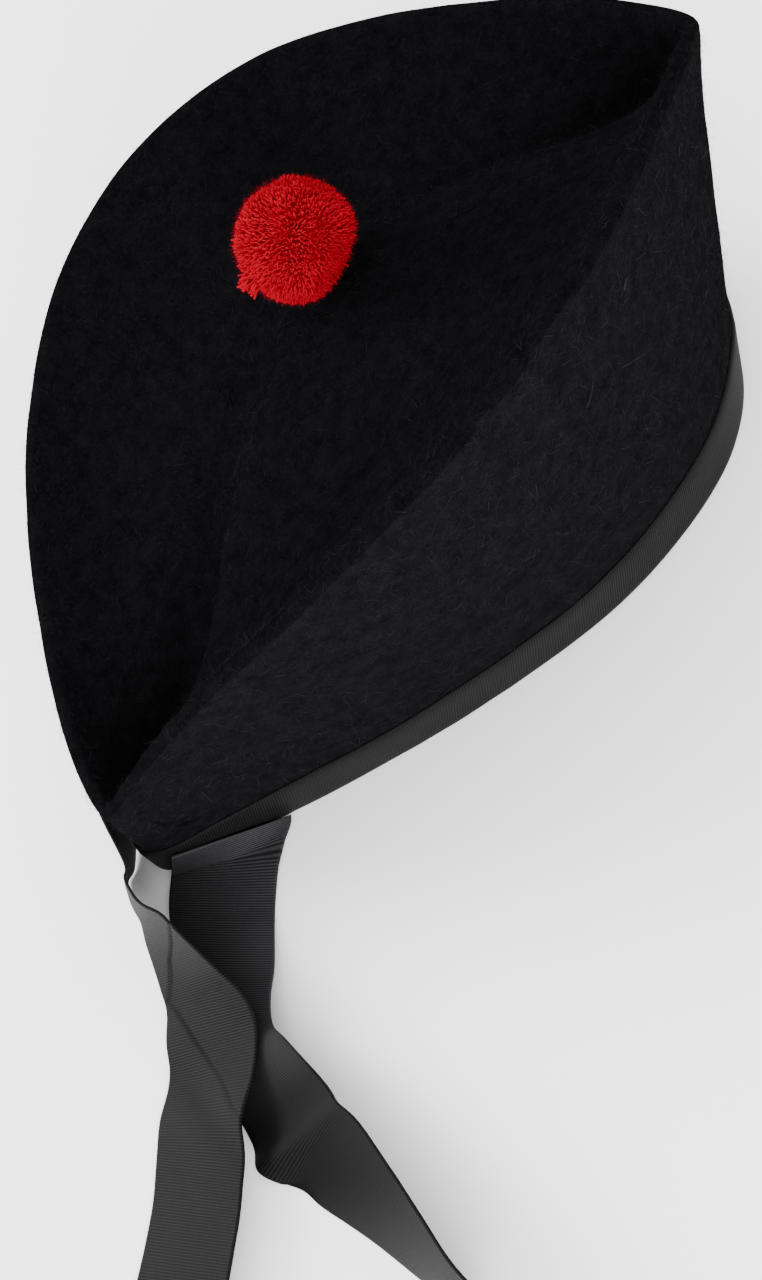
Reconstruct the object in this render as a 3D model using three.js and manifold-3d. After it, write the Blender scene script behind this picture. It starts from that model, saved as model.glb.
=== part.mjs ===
// A glengarry: a boat-shaped felt cap, bound at the rim in grosgrain ribbon, with a red wool
// toorie on its sunken crown and two ribbon tails at the back.
// Millimetres, +Z up, +X to the wearer's front, +Y to the wearer's left.
// The cap stands open on its rim, and the tails lie on the same surface behind it.
// Near is the wearer's right side, far the left.

import * as THREE from "three";
import { mergeVertices } from "three/addons/utils/BufferGeometryUtils.js";
import Module from "manifold-3d";

// Felt body: the rim loop on the table and the two ridges above it. A loop's width is that of
// its lens shape on one side of the line between its two ends.
const FELT_THICKNESS = 2.8;
const CROWN_THICKNESS = 3.2;
const RIM_LENGTH = 225;
const RIM_FORWARD = -6.8;
const RIM_REAR_ASIDE = -0.5;
const RIM_FRONT_ASIDE = -17;
const NEAR_RIM_WIDTH = 43.5;
const NEAR_RIM_FULLNESS = 0.73;
const NEAR_RIM_SKEW = 1.63;
const FAR_RIM_WIDTH = 72;
const FAR_RIM_FULLNESS = 0.7;
const FAR_RIM_SKEW = 1.1;
const NOSE_HALF_WIDTH = 7.5;
const NOSE_SHARPNESS = 24;
const RIDGE_LENGTH = 266;
const RIDGE_FORWARD = 16;
const NEAR_RIDGE_WIDTH = 57.5;
const NEAR_RIDGE_FULLNESS = 1.25;
const NEAR_RIDGE_SKEW = 1.11;
const FAR_RIDGE_WIDTH = 102;
const FAR_RIDGE_FULLNESS = 0.78;
const FAR_RIDGE_SKEW = 1.02;
const REAR_TIP_HEIGHT = 59.5;
const FRONT_TIP_HEIGHT = 89.5;
const RIDGE_ARCH = 40.5;
const REAR_TIP_ASIDE = -26;
const FRONT_TIP_ASIDE = -14;
const RIDGE_ROUNDING = 3;
const APEX_INSET = 5.2;
const APEX_DROP = 8.6;
const WALL_BULGE = 3;

// Crown, sunk between the two ridges
const CROWN_DEPTH = 22;
const CROWN_TIP_DEPTH = 11;
const CROWN_FLATNESS = 4;
const SPINE_SETBACK = 15;

// Grosgrain binding folded over the rim
const BINDING_THICKNESS = 1;
const BINDING_HEIGHT = 18;
const SEAM_GAP = 0.3;

// Toorie
const TOORIE_RADIUS = 17;
const TOORIE_HEAD_SHARE = 0.86;
const TOORIE_LOCKS = 72;
const LOCK_LENGTH = 10;
const LOCK_ROOT_RADIUS = 3.4;
const LOCK_TIP_RADIUS = 2.5;
const LOCK_SIDES = 6;
const TOORIE_ALONG = 0.562;
const TOORIE_ACROSS = 0.135;

// Ribbon tails
const TAIL_WIDTH = 36;
const TAIL_THICKNESS = 1;
const NEAR_HEM_SETBACK = 13;
const NEAR_HEM_LENGTH = 34.5;
const NEAR_HEM_HEIGHT = 9;
const NEAR_HEM_TOE_HEIGHT = 1.5;
const FAR_HEM_SETBACK = 46;

// Mesh steps. Steps along the ridges draw together at their ends by a share.
const SIDE_STEPS = 42;
const TAIL_STEPS = 56;
const RIDGE_CLOSENESS = 0.8;
const RIBBON_TENSION = 0.5;
const WELD_DISTANCE = 1e-3;

// Creases pressed into the crown, each a valley along its route. A place on the crown is along,
// from 0 at the rear tip to 1 at the front tip, and across, from -1 at the near ridge to 1 at the
// far ridge. depth is a share of CROWN_DEPTH where the route starts and toe where it ends, and
// near and far are the widths of the valley's two flanks as shares of FAR_RIDGE_WIDTH.
const CREASES = [
  {
    route: [
      { along: 0.95, across: -0.5 },
      { along: 0.9, across: -0.2 },
      { along: 0.84, across: 0.01 },
      { along: 0.72, across: 0.18 },
    ],
    depth: 0.3,
    toe: 0.12,
    near: 0.2,
    far: 0.09,
  },
  {
    route: [
      { along: 0.07, across: -0.85 },
      { along: 0.12, across: -0.56 },
      { along: 0.17, across: -0.33 },
      { along: 0.23, across: -0.1 },
      { along: 0.31, across: 0.06 },
      { along: 0.44, across: 0.22 },
    ],
    depth: 0.42,
    toe: 0.12,
    near: 0.26,
    far: 0.12,
  },
  {
    route: [
      { along: 0.28, across: -0.86 },
      { along: 0.42, across: -0.6 },
    ],
    depth: 0.12,
    toe: 0.08,
    near: 0.12,
    far: 0.1,
  },
];

// The near tail's turn from the wall to the table, as its second row: setback and height of its
// two edges on the wall, and how far each stands off the wall.
const NEAR_TURN = {
  left: { setback: 10, height: 3.5, outset: 1.5 },
  right: { setback: 42.5, height: 1.4, outset: 5 },
};

// Where the far tail lies on the wall, as shares of its setback.
const FAR_HEM_SHARES = [1, 0.66, 0.32];

// Routes of the tails after their hems. back and aside place the left edge in plan, in tail widths
// behind the rim's rear end and towards the near side. rise is the height of the lower edge in
// tail thicknesses, bearing the plan direction from left edge to right edge in degrees, and
// tilt how far the right edge is lifted.
const NEAR_ROUTE = [
  { back: -0.04, aside: 0.2, rise: 0.6, bearing: -50, tilt: 0 },
  { back: 0.15, aside: 0.39, rise: 0, bearing: -54, tilt: 0 },
  { back: 0.28, aside: 0.58, rise: 0, bearing: -55, tilt: 2 },
  { back: 0.46, aside: 0.88, rise: 0, bearing: -56, tilt: 6 },
  { back: 0.64, aside: 1.14, rise: 0, bearing: -55, tilt: 11 },
  { back: 0.76, aside: 1.42, rise: 0, bearing: -54, tilt: 16 },
  { back: 0.82, aside: 1.78, rise: 0, bearing: -47, tilt: 23 },
  { back: 0.91, aside: 2.36, rise: 0, bearing: -34, tilt: 30 },
  { back: 0.98, aside: 2.92, rise: 0, bearing: -22, tilt: 33 },
  { back: 0.9, aside: 3.26, rise: 0, bearing: -25, tilt: 40 },
  { back: 0.8, aside: 3.7, rise: 0, bearing: -40, tilt: 45 },
  { back: 0.74, aside: 4.02, rise: 0, bearing: -50, tilt: 48 },
  { back: 0.68, aside: 4.46, rise: 0, bearing: -62, tilt: 50 },
  { back: 0.6, aside: 4.95, rise: 0, bearing: -68, tilt: 50 },
];
const FAR_ROUTE = [
  { back: 0.17, aside: -0.15, rise: 0, bearing: -85, tilt: 52 },
  { back: 0.28, aside: -0.1, rise: 0, bearing: -83, tilt: 49 },
  { back: 0.35, aside: 0.02, rise: 0, bearing: -81, tilt: 47 },
  { back: 0.39, aside: 0.17, rise: 0.6, bearing: -78, tilt: 46 },
  { back: 0.42, aside: 0.36, rise: 1.6, bearing: -72, tilt: 43 },
  { back: 0.5, aside: 0.55, rise: 1.8, bearing: -67, tilt: 40 },
  { back: 0.58, aside: 0.78, rise: 2, bearing: -62, tilt: 36 },
  { back: 0.66, aside: 1, rise: 2.2, bearing: -57, tilt: 32 },
  { back: 0.75, aside: 1.22, rise: 2.4, bearing: -53, tilt: 28 },
  { back: 0.94, aside: 1.46, rise: 1.6, bearing: -48, tilt: 21 },
  { back: 1.12, aside: 1.68, rise: 0.8, bearing: -52, tilt: 19 },
  { back: 1.35, aside: 1.84, rise: 0, bearing: -57, tilt: 17 },
  { back: 1.56, aside: 2.07, rise: 0, bearing: -60, tilt: 16 },
  { back: 1.77, aside: 2.3, rise: 0, bearing: -60, tilt: 16 },
  { back: 2, aside: 2.5, rise: 0, bearing: -60, tilt: 16 },
  { back: 2.23, aside: 2.68, rise: 0, bearing: -59, tilt: 15 },
  { back: 2.7, aside: 3.05, rise: 0, bearing: -58, tilt: 10 },
];

const NEAR = -1;
const FAR = 1;
const lerp = THREE.MathUtils.lerp;

// Half width of a lens-shaped loop, as a share of its widest, at a share of its length.
function lens(share, fullness, skew) {
  const v = share ** skew;
  return Math.max(4 * v * (1 - v), 0) ** fullness;
}

// Rounds the two ends of a lens into noses.
function nose(share) {
  return Math.sqrt(1 - Math.abs(2 * share - 1) ** NOSE_SHARPNESS);
}

// Steps along a side lie closer together near its ends.
function endsCloser(step, closeness) {
  return lerp(step, (1 - Math.cos(Math.PI * step)) / 2, closeness);
}

// A point of a lens-shaped loop whose ends lie aside of the cap's middle plane.
function lensPoint(share, side, loop) {
  const flank = side === NEAR ? loop.near : loop.far;
  const half = flank.width * lens(share, flank.fullness, flank.skew) + NOSE_HALF_WIDTH * nose(share);
  return new THREE.Vector3(
    loop.forward + loop.length * (share - 0.5),
    lerp(loop.rearAside, loop.frontAside, share) + side * half,
    lerp(loop.rearHeight, loop.frontHeight, share) + loop.arch * 4 * share * (1 - share),
  );
}

const RIM_SHAPE = {
  length: RIM_LENGTH,
  forward: RIM_FORWARD,
  rearAside: RIM_REAR_ASIDE,
  frontAside: RIM_FRONT_ASIDE,
  near: { width: NEAR_RIM_WIDTH, fullness: NEAR_RIM_FULLNESS, skew: NEAR_RIM_SKEW },
  far: { width: FAR_RIM_WIDTH, fullness: FAR_RIM_FULLNESS, skew: FAR_RIM_SKEW },
  rearHeight: 0,
  frontHeight: 0,
  arch: 0,
};
const RIDGE_SHAPE = {
  length: RIDGE_LENGTH,
  forward: RIDGE_FORWARD,
  rearAside: REAR_TIP_ASIDE,
  frontAside: FRONT_TIP_ASIDE,
  near: { width: NEAR_RIDGE_WIDTH, fullness: NEAR_RIDGE_FULLNESS, skew: NEAR_RIDGE_SKEW },
  far: { width: FAR_RIDGE_WIDTH, fullness: FAR_RIDGE_FULLNESS, skew: FAR_RIDGE_SKEW },
  rearHeight: REAR_TIP_HEIGHT,
  frontHeight: FRONT_TIP_HEIGHT,
  arch: RIDGE_ARCH,
};

function rimPoint(step, side) {
  return lensPoint(endsCloser(step, 1), side, RIM_SHAPE);
}

function ridgeShare(step) {
  return endsCloser(step, RIDGE_CLOSENESS);
}

function ridgePoint(step, side) {
  return lensPoint(ridgeShare(step), side, RIDGE_SHAPE);
}

// The columns run along the near side from rear to front and back along the far side.
const COLUMNS = [];
for (let i = 0; i <= SIDE_STEPS; i++) COLUMNS.push({ step: i / SIDE_STEPS, side: NEAR });
for (let i = SIDE_STEPS - 1; i > 0; i--) COLUMNS.push({ step: i / SIDE_STEPS, side: FAR });

// Moves each point of a closed loop level and square to the loop, outwards where outset is positive.
function offsetLoop(loop, outset) {
  return loop.map((point, i) => {
    const before = loop[(i + loop.length - 1) % loop.length];
    const after = loop[(i + 1) % loop.length];
    const outward = new THREE.Vector3(after.y - before.y, before.x - after.x, 0).normalize();
    return point.clone().addScaledVector(outward, outset);
  });
}

const RIM = COLUMNS.map(({ step, side }) => rimPoint(step, side));
const RIDGE = COLUMNS.map(({ step, side }) => ridgePoint(step, side));

// A loop on the wall's outer face. Its height is found for each column by heightOf, from the
// ridge's height there, and outset moves it off the face.
function wallLoop(heightOf, outset) {
  const loop = RIM.map((foot, i) => {
    const share = heightOf(RIDGE[i].z) / RIDGE[i].z;
    return foot.clone().lerp(RIDGE[i], share);
  });
  const bulged = offsetLoop(loop, outset);
  return bulged.map((point, i) => {
    const share = heightOf(RIDGE[i].z) / RIDGE[i].z;
    const swell = WALL_BULGE * Math.sin(Math.PI * share) * Math.sin(Math.PI * COLUMNS[i].step);
    return point.addScaledVector(new THREE.Vector3(0, COLUMNS[i].side, 0), swell);
  });
}

// A loop on the rounded ridge: turn is the angle round the rounding from the wall, in degrees.
function ridgeLoop(turn) {
  const angle = THREE.MathUtils.degToRad(turn);
  const inset = RIDGE_ROUNDING * (1 - Math.cos(angle));
  const drop = RIDGE_ROUNDING * (1 - Math.sin(angle));
  return offsetLoop(RIDGE, -inset).map((point) => point.setZ(point.z - drop));
}

const RIDGE_TURNS = [0, 45, 90];
const CROWN_EDGE_TURN = 126;
const CROWN_EDGE = ridgeLoop(CROWN_EDGE_TURN);
const REAR_SPINE = CROWN_EDGE[0].x + SPINE_SETBACK;
const FRONT_SPINE = CROWN_EDGE[SIDE_STEPS].x - SPINE_SETBACK;

// A place on the crown before its creases. inward is 0 at an edge and 1 on the spine, where the
// two sides meet.
function smoothCrown(along, edge, twin, inward) {
  const depth = lerp(CROWN_TIP_DEPTH, CROWN_DEPTH, Math.sin(Math.PI * along));
  return new THREE.Vector3(
    lerp(edge.x, lerp(REAR_SPINE, FRONT_SPINE, along), inward),
    lerp(edge.y, (edge.y + twin.y) / 2, inward),
    edge.z - depth * (1 - (1 - inward) ** CROWN_FLATNESS),
  );
}

// The same for a place given by along and across.
function crownPlace({ along, across }) {
  const near = lensPoint(along, NEAR, RIDGE_SHAPE);
  const far = lensPoint(along, FAR, RIDGE_SHAPE);
  const edge = across < 0 ? near : far;
  return smoothCrown(along, edge, across < 0 ? far : near, 1 - Math.abs(across));
}

// Each crease's route in plan.
const VALLEYS = CREASES.map((crease) => ({
  ...crease,
  points: crease.route.map((place) => crownPlace(place).setZ(0)),
}));

// Depth of the creases under a point of the crown.
function creaseDepth(point) {
  const here = point.clone().setZ(0);
  let depth = 0;
  for (const { points, depth: start, toe, near, far } of VALLEYS) {
    let nearest = Infinity;
    let share = 0;
    let onFarSide = false;
    for (let i = 0; i + 1 < points.length; i++) {
      const segment = new THREE.Line3(points[i], points[i + 1]);
      const t = segment.closestPointToPointParameter(here, true);
      const gap = segment.at(t, new THREE.Vector3()).distanceTo(here);
      if (gap < nearest) {
        nearest = gap;
        share = (i + t) / (points.length - 1);
        onFarSide = here.y > segment.at(t, new THREE.Vector3()).y;
      }
    }
    const flank = (onFarSide ? far : near) * FAR_RIDGE_WIDTH;
    depth += CROWN_DEPTH * lerp(start, toe, share) * Math.exp(-((nearest / flank) ** 2));
  }
  return depth;
}

// The creases fade out over this share of the way from the edge to the spine.
const CREASE_FADE = 0.25;

// A loop on the crown, lowered below its face for the underside.
function crownLoop(inward, lowered) {
  return CROWN_EDGE.map((edge, i) => {
    const twin = CROWN_EDGE[(CROWN_EDGE.length - i) % CROWN_EDGE.length];
    const point = smoothCrown(ridgeShare(COLUMNS[i].step), edge, twin, inward);
    const awayFromEdge = Math.min(1, inward / CREASE_FADE);
    return point.setZ(point.z - creaseDepth(point) * awayFromEdge - lowered);
  });
}

// A closed mesh from rows of points: every row is a closed loop. ring joins the last row to the
// first, and otherwise the end rows are folded onto a line and close themselves.
function loftLoops(rows, ring) {
  const count = rows[0].length;
  const position = rows.flatMap((row) => row.flatMap((point) => point.toArray()));
  const index = [];
  const bands = ring ? rows.length : rows.length - 1;
  for (let r = 0; r < bands; r++) {
    const lower = r * count;
    const upper = ((r + 1) % rows.length) * count;
    for (let i = 0; i < count; i++) {
      const j = (i + 1) % count;
      index.push(lower + i, lower + j, upper + j, lower + i, upper + j, upper + i);
    }
  }
  return weld(position, index);
}

// Joins points that lie on each other and drops the faces that this leaves without area.
function weld(position, index) {
  const loose = new THREE.BufferGeometry();
  loose.setAttribute("position", new THREE.Float32BufferAttribute(position, 3));
  loose.setIndex(index);
  const welded = mergeVertices(loose, WELD_DISTANCE);
  const old = welded.index.array;
  const kept = [];
  for (let i = 0; i < old.length; i += 3) {
    const [a, b, c] = [old[i], old[i + 1], old[i + 2]];
    if (a !== b && b !== c && c !== a) kept.push(a, b, c);
  }
  welded.setIndex(kept);
  welded.computeVertexNormals();
  return welded;
}

const FELT_FOOT = BINDING_THICKNESS + SEAM_GAP;
const WALL_SHARES = [0.36, 0.5, 0.65, 0.8];
const CROWN_SHARES = [0.06, 0.13, 0.21, 0.3, 0.4, 0.51, 0.63, 0.75, 0.87, 1];
const UNDER_SHARES = [0.13, 0.3, 0.51, 0.75, 1];
const TOP_BAND = 8;

// The inner skin meets under the ridge at an apex, set in and down from it.
function capBody() {
  const shares = (list, outset) => list.map((share) => wallLoop((top) => share * top, outset));
  const inner = [
    wallLoop(() => FELT_FOOT, -FELT_THICKNESS),
    wallLoop(() => BINDING_HEIGHT, -FELT_THICKNESS),
    ...shares(WALL_SHARES, -FELT_THICKNESS),
    offsetLoop(RIDGE, -APEX_INSET).map((point) => point.setZ(point.z - APEX_DROP)),
    ...UNDER_SHARES.map((share) => crownLoop(share, CROWN_THICKNESS)),
  ];
  const outer = [
    wallLoop(() => FELT_FOOT, 0),
    wallLoop(() => BINDING_HEIGHT, 0),
    ...shares(WALL_SHARES, 0),
    wallLoop((top) => top - TOP_BAND, 0),
    ...RIDGE_TURNS.map((turn) => ridgeLoop(turn)),
    ...CROWN_SHARES.map((share) => crownLoop(share, 0)),
  ];
  return loftLoops([...inner.reverse(), ...outer], false);
}

// A U of ribbon round the felt's lower edge.
function rimBinding() {
  const out = SEAM_GAP + BINDING_THICKNESS;
  const within = FELT_THICKNESS + SEAM_GAP;
  const profile = [
    { outset: out, height: 0 },
    { outset: out, height: BINDING_HEIGHT },
    { outset: SEAM_GAP, height: BINDING_HEIGHT },
    { outset: SEAM_GAP, height: BINDING_THICKNESS },
    { outset: -within, height: BINDING_THICKNESS },
    { outset: -within, height: BINDING_HEIGHT },
    { outset: -within - BINDING_THICKNESS, height: BINDING_HEIGHT },
    { outset: -within - BINDING_THICKNESS, height: 0 },
  ];
  return loftLoops(profile.map(({ outset, height }) => wallLoop(() => height, outset)), true);
}

// A place on the wall's outer face, at a height and a distance forward of the rear end.
function wallPlace(side, distance, height, outset) {
  const loop = wallLoop(() => height, outset);
  const order = side === NEAR ? loop : [loop[0], ...loop.slice(1).reverse()];
  let left = distance;
  for (let i = 0; i < SIDE_STEPS; i++) {
    const length = order[i].distanceTo(order[i + 1]);
    if (left <= length) return order[i].clone().lerp(order[i + 1], left / length);
    left -= length;
  }
  return order[SIDE_STEPS].clone();
}

// Stations of a tail: left edge, and the direction across it to the right edge.
function stationsOf(hem, route) {
  const floor = TAIL_THICKNESS / 2;
  const rows = route.map(({ back, aside, rise, bearing, tilt }) => {
    const left = new THREE.Vector3(RIM[0].x - back * TAIL_WIDTH, RIM[0].y - aside * TAIL_WIDTH, 0);
    const plan = THREE.MathUtils.degToRad(bearing);
    const lift = THREE.MathUtils.degToRad(tilt);
    left.z = floor + rise * TAIL_THICKNESS;
    const level = Math.cos(lift);
    const across = new THREE.Vector3(Math.cos(plan) * level, Math.sin(plan) * level, Math.sin(lift));
    return { left, across };
  });
  return [...hem, ...rows];
}

// A ribbon lofted through its stations.
function ribbon(stations) {
  const curve = (points) => new THREE.CatmullRomCurve3(points, false, "catmullrom", RIBBON_TENSION);
  const lefts = curve(stations.map(({ left }) => left));
  const acrosses = curve(stations.map(({ across }) => across));
  const centres = [];
  const sides = [];
  for (let k = 0; k <= TAIL_STEPS; k++) {
    const across = acrosses.getPoint(k / TAIL_STEPS).normalize();
    sides.push(across);
    centres.push(lefts.getPoint(k / TAIL_STEPS).addScaledVector(across, TAIL_WIDTH / 2));
  }
  const position = [];
  centres.forEach((centre, k) => {
    const ahead = centres[Math.min(k + 1, TAIL_STEPS)].clone().sub(centres[Math.max(k - 1, 0)]);
    const normal = new THREE.Vector3().crossVectors(sides[k], ahead).normalize();
    for (const [across, up] of [[-1, -1], [1, -1], [1, 1], [-1, 1]]) {
      const corner = centre.clone();
      corner.addScaledVector(sides[k], (across * TAIL_WIDTH) / 2);
      corner.addScaledVector(normal, (up * TAIL_THICKNESS) / 2);
      position.push(...corner.toArray());
    }
  });
  const index = [];
  for (let k = 0; k < TAIL_STEPS; k++) {
    for (let c = 0; c < 4; c++) {
      const here = 4 * k + c;
      const beside = 4 * k + ((c + 1) % 4);
      index.push(here, here + 4, beside + 4, here, beside + 4, beside);
    }
  }
  const last = 4 * TAIL_STEPS;
  index.push(0, 1, 2, 0, 2, 3, last, last + 2, last + 1, last, last + 3, last + 2);
  return weld(position, index);
}

function nearHem() {
  const outset = 2 * SEAM_GAP + BINDING_THICKNESS + TAIL_THICKNESS / 2;
  const right = NEAR_HEM_SETBACK + NEAR_HEM_LENGTH;
  const rows = [
    {
      left: { setback: NEAR_HEM_SETBACK, height: NEAR_HEM_HEIGHT, outset: 0 },
      right: { setback: right, height: NEAR_HEM_TOE_HEIGHT, outset: 0 },
    },
    NEAR_TURN,
  ];
  const place = (edge) => wallPlace(NEAR, edge.setback, edge.height, outset + edge.outset);
  return rows.map((row) => {
    const left = place(row.left);
    return { left, across: place(row.right).sub(left).normalize() };
  });
}

function farHem() {
  const outset = 3 * SEAM_GAP + BINDING_THICKNESS + TAIL_THICKNESS;
  return FAR_HEM_SHARES.map((share) => {
    const low = wallPlace(FAR, FAR_HEM_SETBACK * share, TAIL_THICKNESS, outset);
    const high = wallPlace(FAR, FAR_HEM_SETBACK * share, TAIL_WIDTH, outset);
    return { left: low, across: high.sub(low).normalize() };
  });
}

const wasm = await Module();
wasm.setup();

function solidFrom(geometry) {
  const bare = geometry.clone();
  bare.deleteAttribute("normal");
  bare.deleteAttribute("uv");
  const merged = mergeVertices(bare, WELD_DISTANCE);
  return new wasm.Manifold(
    new wasm.Mesh({
      numProp: 3,
      vertProperties: new Float32Array(merged.attributes.position.array),
      triVerts: new Uint32Array(merged.index.array),
    }),
  );
}

function geometryFrom(solid) {
  const mesh = solid.getMesh();
  const geometry = new THREE.BufferGeometry();
  geometry.setAttribute("position", new THREE.BufferAttribute(mesh.vertProperties, mesh.numProp));
  geometry.setIndex(new THREE.BufferAttribute(mesh.triVerts, 1));
  geometry.computeVertexNormals();
  return geometry;
}

// The toorie: short blunt locks of yarn on a round head, all one solid.
function toorie() {
  const headRadius = TOORIE_RADIUS * TOORIE_HEAD_SHARE;
  let solid = solidFrom(new THREE.IcosahedronGeometry(headRadius, 3));
  const goldenTurn = Math.PI * (3 - Math.sqrt(5));
  for (let k = 0; k < TOORIE_LOCKS; k++) {
    const height = 1 - (2 * k + 1) / TOORIE_LOCKS;
    const ring = Math.sqrt(1 - height * height);
    const direction = new THREE.Vector3(
      ring * Math.cos(goldenTurn * k),
      ring * Math.sin(goldenTurn * k),
      height,
    );
    const lock = new THREE.CylinderGeometry(LOCK_TIP_RADIUS, LOCK_ROOT_RADIUS, LOCK_LENGTH, LOCK_SIDES);
    lock.applyQuaternion(new THREE.Quaternion().setFromUnitVectors(new THREE.Vector3(0, 1, 0), direction));
    const reach = TOORIE_RADIUS - LOCK_LENGTH / 2;
    lock.translate(direction.x * reach, direction.y * reach, direction.z * reach);
    solid = solid.add(solidFrom(lock));
  }
  return geometryFrom(solid);
}

// The lowest place for the toorie's middle at which it clears the crown.
function toorieSeat() {
  const middle = crownPlace({ along: TOORIE_ALONG, across: TOORIE_ACROSS });
  const reach = TOORIE_RADIUS + SEAM_GAP;
  let height = 0;
  for (const inward of CROWN_SHARES) {
    for (const point of crownLoop(inward, 0)) {
      const aside = Math.hypot(point.x - middle.x, point.y - middle.y);
      if (aside < reach) height = Math.max(height, point.z + Math.sqrt(reach ** 2 - aside ** 2));
    }
  }
  return middle.setZ(height);
}

function piece(name, geometry, color, roughness) {
  const material = new THREE.MeshStandardMaterial({ color, roughness, metalness: 0 });
  const mesh = new THREE.Mesh(geometry, material);
  mesh.name = name;
  return mesh;
}

const FELT_COLOUR = 0x0d0e14;
const RIBBON_COLOUR = 0x191a20;
const TOORIE_COLOUR = 0xd8000f;

const glengarry = new THREE.Group();
glengarry.add(piece("cap_body", capBody(), FELT_COLOUR, 0.95));
glengarry.add(piece("rim_binding", rimBinding(), RIBBON_COLOUR, 0.6));
glengarry.add(piece("near_tail", ribbon(stationsOf(nearHem(), NEAR_ROUTE)), RIBBON_COLOUR, 0.6));
glengarry.add(piece("far_tail", ribbon(stationsOf(farHem(), FAR_ROUTE)), RIBBON_COLOUR, 0.6));

const pompom = piece("toorie", toorie(), TOORIE_COLOUR, 0.9);
pompom.position.copy(toorieSeat());
glengarry.add(pompom);

// The origin is the middle of the model's box, on the surface that it stands on.
const box = new THREE.Box3().setFromObject(glengarry);
const middle = box.getCenter(new THREE.Vector3());
glengarry.position.set(-middle.x, -middle.y, -box.min.z);

export default glengarry;
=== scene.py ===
"""A glengarry on a pale table: a boat-shaped felt cap, bound at the rim in grosgrain ribbon, with a
red wool toorie in its sunken crown and two ribbon tails at the back."""

import math
import random

import bmesh
import bpy
import numpy as np
from bpy.props import FloatProperty, FloatVectorProperty, IntProperty, PointerProperty
from mathutils import Matrix, Quaternion, Vector, noise


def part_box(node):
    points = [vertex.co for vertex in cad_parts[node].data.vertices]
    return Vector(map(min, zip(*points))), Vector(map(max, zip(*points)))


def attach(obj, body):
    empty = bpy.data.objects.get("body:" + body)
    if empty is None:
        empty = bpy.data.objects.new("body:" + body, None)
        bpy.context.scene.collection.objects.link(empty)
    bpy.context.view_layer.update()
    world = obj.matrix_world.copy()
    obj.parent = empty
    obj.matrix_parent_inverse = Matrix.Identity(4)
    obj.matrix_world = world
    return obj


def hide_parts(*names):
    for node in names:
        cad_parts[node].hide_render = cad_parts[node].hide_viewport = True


bl_info = {
    "name": "Glengarry",
    "version": (1, 0, 0),
    "blender": (4, 5, 0),
    "location": "View3D > Sidebar > Glengarry",
    "description": "Dresses a felt glengarry with nap, grosgrain ribbon and a yarn toorie",
    "category": "Object",
}

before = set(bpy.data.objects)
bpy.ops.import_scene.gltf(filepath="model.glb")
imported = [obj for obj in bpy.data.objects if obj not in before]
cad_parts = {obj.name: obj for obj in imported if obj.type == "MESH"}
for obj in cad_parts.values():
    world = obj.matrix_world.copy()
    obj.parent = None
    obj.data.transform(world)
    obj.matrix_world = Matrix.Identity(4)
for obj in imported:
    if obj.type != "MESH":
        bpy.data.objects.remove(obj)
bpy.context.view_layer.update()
MM = 0.001

# The vector noise takes its offsets from this seed, which is the time of day unless it is set.
NOISE_SEED = 6
noise.seed_set(NOISE_SEED)
NAP_SEED = 11
TOORIE_SEED = 5

# The cap's two loops: the rim on the table and the ridge above it, in millimetres.
NEAR, FAR = -1, 1
NOSE_HALF_WIDTH = 7.5
NOSE_SHARPNESS = 24
RIM_SHAPE = {
    "length": 225,
    "forward": -6.8,
    "rear_aside": -0.5,
    "front_aside": -17,
    NEAR: (43.5, 0.73, 1.63),
    FAR: (72, 0.7, 1.1),
    "rear_height": 0,
    "front_height": 0,
    "arch": 0,
}
RIDGE_SHAPE = {
    "length": 266,
    "forward": 16,
    "rear_aside": -26,
    "front_aside": -14,
    NEAR: (57.5, 1.25, 1.11),
    FAR: (102, 0.78, 1.02),
    "rear_height": 59.5,
    "front_height": 89.5,
    "arch": 40.5,
}
FELT = 2.8
CROWN_FELT = 3.2
RIDGE_ROUNDING = 3
RIDGE_CLOSENESS = 0.8
APEX_INSET = 5.2
APEX_DROP = 8.6
WALL_BULGE = 3
CROWN_EDGE_TURN = 126
CROWN_DEPTH = 22
CROWN_TIP_DEPTH = 11
CROWN_FLATNESS = 4
SPINE_SETBACK = 15
CREASE_FADE = 0.25
SEAM_GAP = 0.3
BINDING = 1
BINDING_HEIGHT = 18
SOLID_STEPS = 42
FORM_STEPS = 132
SMOOTHINGS = 4
SMOOTHED_ABOVE = 45
# Felt faces that face up more than CROWN_FACING take the crown's copy of the felt, the others the wall's. The
# wall's copy is painted lighter than the crown's: painted light on the wall and painted shade in the sunken
# crown.
CROWN_FACING = 0.25
WALL_PAINTED_LIGHT = 1.55
CROWN_PAINTED_LIGHT = 1

# Creases pressed into the crown: places (along, across), depth at the start and at the toe as
# shares of the crown's depth, and the widths of the near and the far flank in millimetres.
CREASES = (
    (((0.95, -0.5), (0.9, -0.2), (0.84, 0.01), (0.72, 0.18)), 0.6, 0.22, 5, 15),
    (
        ((0.045, -0.8), (0.06, -0.42), (0.12, -0.3), (0.182, -0.18), (0.302, 0.03), (0.44, 0.17)),
        0.88,
        0.23,
        5,
        17,
    ),
    (((0.28, -0.86), (0.42, -0.6)), 0.12, 0.08, 12, 10),
)

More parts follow.
